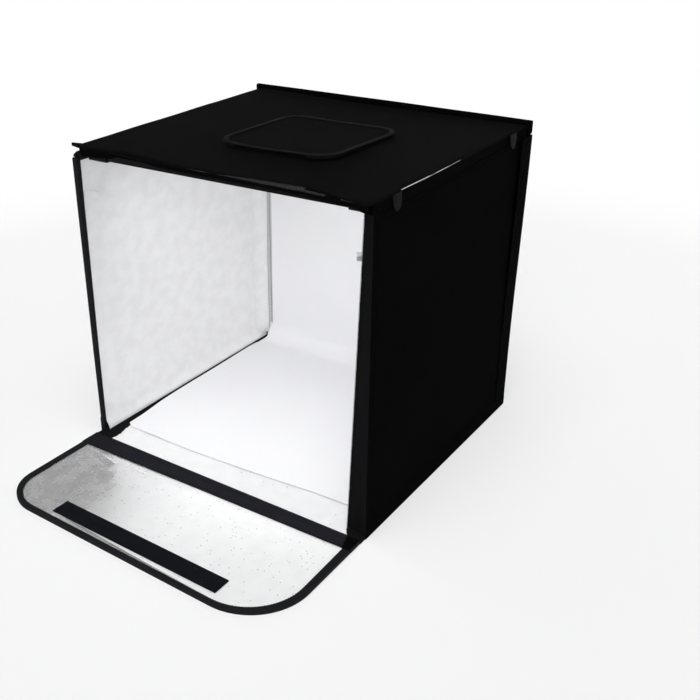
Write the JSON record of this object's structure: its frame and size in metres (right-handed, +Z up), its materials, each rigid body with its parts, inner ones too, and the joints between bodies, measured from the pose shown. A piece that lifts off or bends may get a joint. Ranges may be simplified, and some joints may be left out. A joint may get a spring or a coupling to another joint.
{
  "type": "light tent",
  "caption": "Folding photo light tent of stiffened cloth panels with a silver lining, a white sweep sheet, a front flap, a lid with a covered camera port and a light bar.",
  "frame": {"origin": "centre of the standing tent's footprint, on the surface that it stands on", "axes": "+Z up, -Y towards the open front and the flap, +X to the right as seen from the front"},
  "size_m": [0.403, 0.543, 0.385],
  "materials": {
    "black_cloth": "matte woven polyester",
    "black_tape": "ribbed binding tape",
    "hook_tape": "fuzzy hook and loop tape",
    "silver_lining": "silvered cloth with a pebbled surface",
    "stiff_board": "plain",
    "white_sheet": "matte",
    "white_cloth": "woven",
    "black_plastic": "gloss",
    "light_plate": "matte",
    "light_chips": "satin",
    "diffuser_plastic": "frosted",
    "inlet_metal": "satin"
  },
  "bodies": {
    "floor": {"bottom_cover": "black_cloth", "bottom_board": "stiff_board", "bottom_lining": "silver_lining", "bottom_binding": "black_tape", "right_hinge_cloth": "black_cloth", "left_hinge_cloth": "black_cloth", "back_hinge_cloth": "black_cloth", "backdrop_sheet": "white_sheet"},
    "right_wall": {"right_wall_cover": "black_cloth", "right_wall_board": "stiff_board", "right_wall_lining": "silver_lining", "right_wall_binding": "black_tape", "right_wall_tab": "white_cloth", "right_corner_flap": "black_cloth"},
    "left_wall": {"left_wall_cover": "black_cloth", "left_wall_board": "stiff_board", "left_wall_lining": "silver_lining", "left_wall_binding": "black_tape", "left_wall_tab": "white_cloth", "left_corner_flap": "black_cloth"},
    "back_wall": {"back_wall_cover": "black_cloth", "back_wall_board": "stiff_board", "back_wall_lining": "silver_lining", "back_wall_binding": "black_tape", "closing_loop_tape": "hook_tape", "backdrop_hook_tape": "hook_tape"},
    "spine": {"spine_cover": "black_cloth", "spine_board": "stiff_board", "spine_band": "black_tape"},
    "flap": {"flap_cover": "black_cloth", "flap_board": "stiff_board", "flap_lining": "silver_lining", "flap_binding": "black_tape", "closing_hook_tape": "hook_tape"},
    "lid": {"lid_cover": "black_cloth", "lid_board": "stiff_board", "lid_lining": "silver_lining", "lid_binding": "black_tape", "port_rim_binding": "black_tape", "port_hook_tape": "hook_tape", "lid_rail_right": "black_tape", "lid_rail_left": "black_tape", "lid_rear_bar": "black_tape", "light_housing": "black_plastic", "light_board": "light_plate", "light_strip": "light_chips", "light_diffuser": "diffuser_plastic", "light_cap_left": "black_plastic", "light_cap_right": "black_plastic", "light_power_inlet": "inlet_metal"},
    "port_cover": {"port_cover_cloth": "black_cloth", "port_cover_backing": "stiff_board", "port_cover_binding": "black_tape"},
    "tab_right_front": {"lid_tab_right_front": "black_tape"},
    "tab_right_rear": {"lid_tab_right_rear": "black_tape"},
    "tab_left_front": {"lid_tab_left_front": "black_tape"},
    "tab_left_rear": {"lid_tab_left_rear": "black_tape"}
  },
  "joints": [
    {"name": "right_wall_fold", "type": "hinge", "parent": "floor", "child": "right_wall", "pos_m": [0.1989, 0, 0.0124], "axis": [0, -1, 0], "range_deg": [0, 90], "deforming": ["right_corner_flap", "backdrop_sheet"]},
    {"name": "left_wall_fold", "type": "hinge", "parent": "floor", "child": "left_wall", "pos_m": [-0.1989, 0, 0.0188], "axis": [0, 1, 0], "range_deg": [0, 90], "deforming": ["left_corner_flap"]},
    {"name": "back_wall_fold", "type": "hinge", "parent": "floor", "child": "back_wall", "pos_m": [0, 0.1789, 0.0252], "axis": [1, 0, 0], "range_deg": [0, 90]},
    {"name": "spine_fold", "type": "hinge", "parent": "floor", "child": "spine", "pos_m": [0, -0.19, 0.006], "axis": [-1, 0, 0], "range_deg": [0, 90]},
    {"name": "flap_fold", "type": "hinge", "parent": "spine", "child": "flap", "pos_m": [0, -0.2116, 0.006], "axis": [-1, 0, 0], "range_deg": [0, 90]},
    {"name": "lid_lift", "type": "slide", "parent": "floor", "child": "lid", "axis": [0, 0, 1], "range_m": [0, 0.25]},
    {"name": "port_cover_open", "type": "hinge", "parent": "lid", "child": "port_cover", "pos_m": [0.02, 0.0583, 0.3847], "axis": [-1, 0, 0], "range_deg": [0, 150]},
    {"name": "tab_right_front_peel", "type": "hinge", "parent": "lid", "child": "tab_right_front", "pos_m": [0.2015, -0.142, 0.3782], "axis": [0, -1, 0], "range_deg": [0, 150]},
    {"name": "tab_right_rear_peel", "type": "hinge", "parent": "lid", "child": "tab_right_rear", "pos_m": [0.2015, 0.125, 0.3782], "axis": [0, -1, 0], "range_deg": [0, 150]},
    {"name": "tab_left_front_peel", "type": "hinge", "parent": "lid", "child": "tab_left_front", "pos_m": [-0.2015, -0.142, 0.3782], "axis": [0, 1, 0], "range_deg": [0, 150]},
    {"name": "tab_left_rear_peel", "type": "hinge", "parent": "lid", "child": "tab_left_rear", "pos_m": [-0.2015, 0.125, 0.3782], "axis": [0, 1, 0], "range_deg": [0, 150]}
  ]
}
